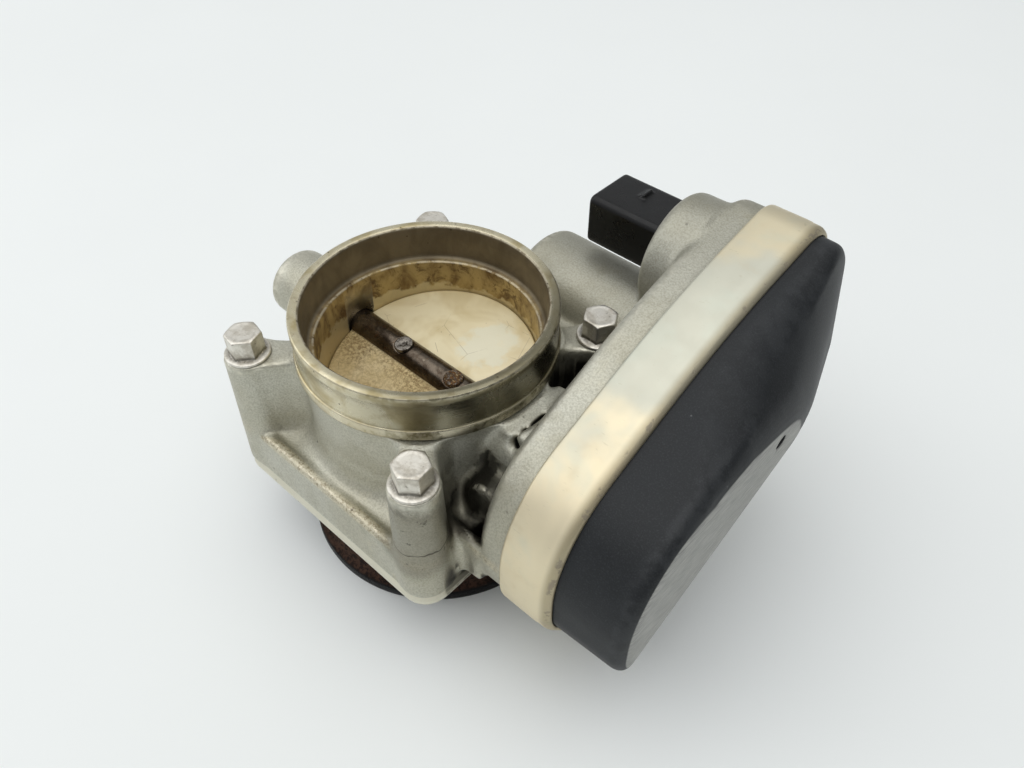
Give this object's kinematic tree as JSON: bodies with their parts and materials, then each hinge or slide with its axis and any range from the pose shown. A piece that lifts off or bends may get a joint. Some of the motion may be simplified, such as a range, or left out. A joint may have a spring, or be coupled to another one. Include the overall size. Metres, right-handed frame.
{
  "type": "throttle body",
  "caption": "Electronic throttle body: cast housing with a round air bore, butterfly plate on a cross shaft, motor and gear case under a banded plastic cover, connector and flange bolts.",
  "frame": {"origin": "on the air bore's axis in the plane of the flange's underside", "axes": "+Z along the air bore towards the intake hose, +X along the throttle shaft towards the gear cover, +Y towards the motor"},
  "size_m": [0.1695, 0.1414, 0.1114],
  "materials": {
    "cast_aluminium": "satin cast",
    "sleeve_plastic": "matt",
    "gasket_rubber": "matt, dusty",
    "zinc_steel": "zinc plated",
    "shaft_steel": "ground, stained",
    "plate_brass": "satin, stained",
    "screw_steel": "dark",
    "bearing_steel": "ground",
    "seal_rubber": "matt",
    "spring_steel": "satin",
    "gear_plastic": "satin natural",
    "spacer_plastic": "satin",
    "board_laminate": "satin",
    "contact_bronze": "satin",
    "can_steel": "zinc plated",
    "ferrite": "matt",
    "laminated_steel": "laminated and wound",
    "copper": "satin",
    "carbon": "matt",
    "holder_plastic": "matt",
    "pinion_brass": "machined",
    "cover_plastic": "fine texture",
    "band_steel": "yellow zinc plated",
    "connector_plastic": "semi-gloss"
  },
  "bodies": {
    "body": {"housing": "cast_aluminium", "manifold_sleeve": "sleeve_plastic", "manifold_gasket": "gasket_rubber", "flange_bolts": "zinc_steel", "bearing_left": "bearing_steel", "bearing_right": "bearing_steel", "seal_left": "seal_rubber", "seal_right": "seal_rubber", "shaft_end_cap": "can_steel", "return_spring": "spring_steel", "position_sensor_board": "board_laminate", "idler_pin": "bearing_steel", "idler_washer": "bearing_steel", "stop_pins": "bearing_steel", "motor_can": "can_steel", "motor_magnets": "ferrite", "motor_brushes": "carbon", "brush_holder": "holder_plastic", "motor_end_cap": "can_steel", "motor_front_bush": "contact_bronze", "motor_rear_bush": "contact_bronze", "motor_screws": "zinc_steel", "gear_cover": "cover_plastic", "cover_seal": "seal_rubber", "clamp_band": "band_steel", "connector_shell": "connector_plastic", "connector_pins": "contact_bronze"},
    "throttle": {"throttle_shaft": "shaft_steel", "throttle_plate": "plate_brass", "plate_screws": "screw_steel", "spring_guide": "spacer_plastic", "sector_gear": "gear_plastic", "sector_hub": "bearing_steel", "wiper_carrier": "spacer_plastic", "wiper_contacts": "contact_bronze"},
    "idler": {"intermediate_gear": "gear_plastic"},
    "rotor": {"armature": "laminated_steel", "commutator": "copper", "motor_shaft": "bearing_steel", "motor_pinion": "pinion_brass"}
  },
  "joints": [
    {"name": "throttle_hinge", "type": "hinge", "parent": "body", "child": "throttle", "pos_m": [0, 0, 0.0365], "axis": [1, 0, 0], "range_deg": [-4, 81], "stiffness_Nm_per_rad": 0.12},
    {"name": "idler_hinge", "type": "hinge", "parent": "body", "child": "idler", "pos_m": [0.08, 0.02847, 0.03789], "axis": [1, 0, 0], "range_deg": [-149.9, 7.5]},
    {"name": "rotor_hinge", "type": "hinge", "parent": "body", "child": "rotor", "pos_m": [0.03, 0.06036, 0.03313], "axis": [1, 0, 0], "range_deg": [-45.7, 924.2]}
  ],
  "couplings": [
    {"joint": "idler_hinge", "follows": "throttle_hinge", "ratio": -1.85},
    {"joint": "rotor_hinge", "follows": "throttle_hinge", "ratio": 11.408}
  ]
}
